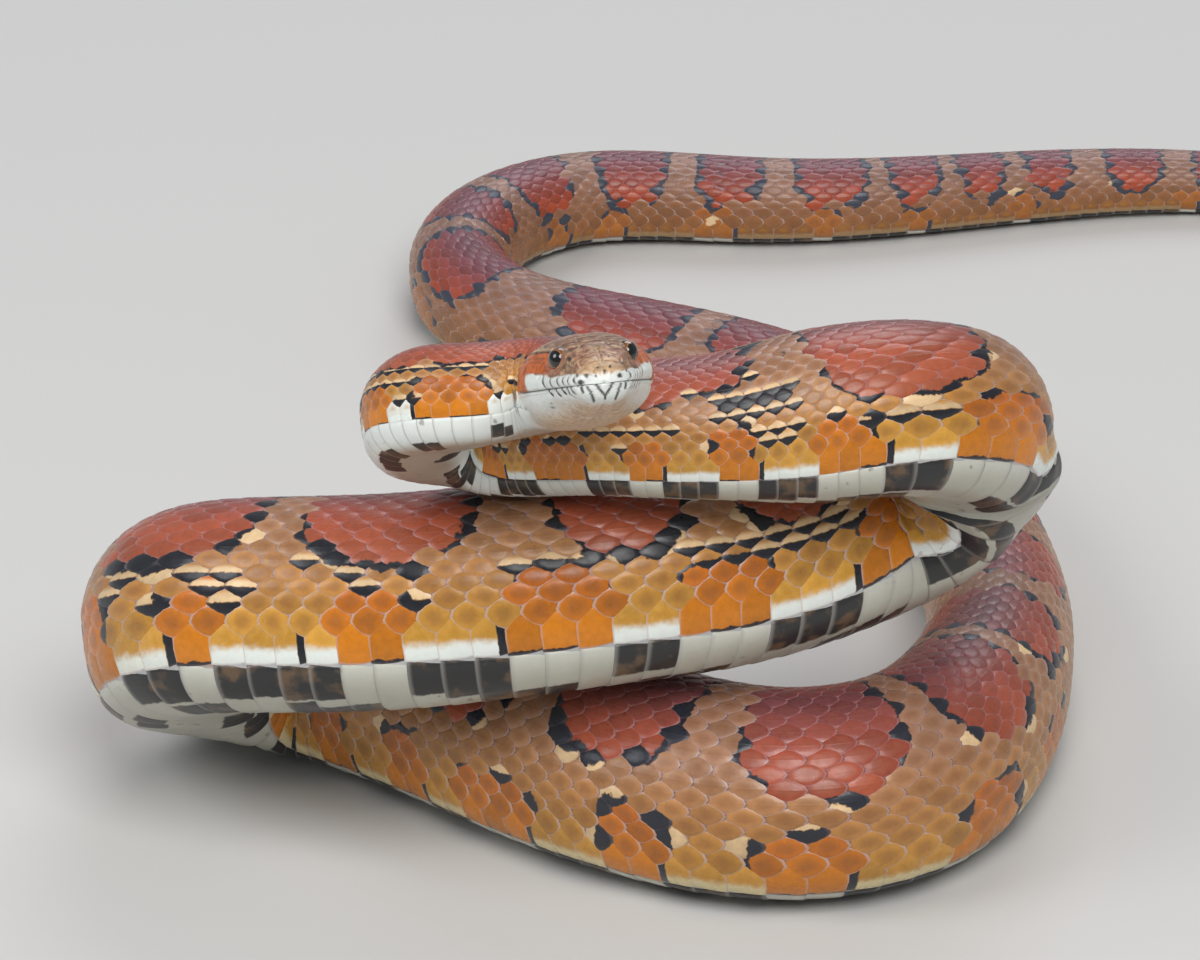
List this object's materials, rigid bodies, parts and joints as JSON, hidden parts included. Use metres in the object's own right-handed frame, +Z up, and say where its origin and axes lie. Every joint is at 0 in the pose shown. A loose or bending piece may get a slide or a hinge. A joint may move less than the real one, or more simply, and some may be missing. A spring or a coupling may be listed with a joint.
{
  "type": "corn snake",
  "caption": "Corn snake lying in three stacked bends with its head raised over them and its tail trailing behind, a still life-size animal model resting on its belly.",
  "frame": {"origin": "on the floor, under the middle of the whole box of the animal", "axes": "+Z up, -Y the way the snout points, +X towards the snake's left as it looks out"},
  "size_m": [0.2362, 0.2753, 0.1041],
  "materials": {
    "scaled_skin": "smooth glossy keeled scales with red saddles on tan and ochre, grey-white belly with black checks",
    "head_plates": "smooth brown-tan plates with dark edges",
    "lip_and_throat": "smooth white scales with black sutures",
    "eye": "wet glossy eye with black pupil and orange-brown iris"
  },
  "bodies": {
    "root": {"eye_left": "eye", "eye_right": "eye", "head": "head_plates", "lower_jaw": "lip_and_throat", "neck_1": "scaled_skin", "neck_2": "scaled_skin", "neck_3": "scaled_skin", "tail_1": "scaled_skin", "tail_2": "scaled_skin", "tail_3": "scaled_skin", "tail_4": "scaled_skin", "trunk_1": "scaled_skin", "trunk_10": "scaled_skin", "trunk_11": "scaled_skin", "trunk_12": "scaled_skin", "trunk_13": "scaled_skin", "trunk_14": "scaled_skin", "trunk_15": "scaled_skin", "trunk_16": "scaled_skin", "trunk_17": "scaled_skin", "trunk_18": "scaled_skin", "trunk_19": "scaled_skin", "trunk_2": "scaled_skin", "trunk_3": "scaled_skin", "trunk_4": "scaled_skin", "trunk_5": "scaled_skin", "trunk_6": "scaled_skin", "trunk_7": "scaled_skin", "trunk_8": "scaled_skin", "trunk_9": "scaled_skin"}
  },
  "joints": []
}
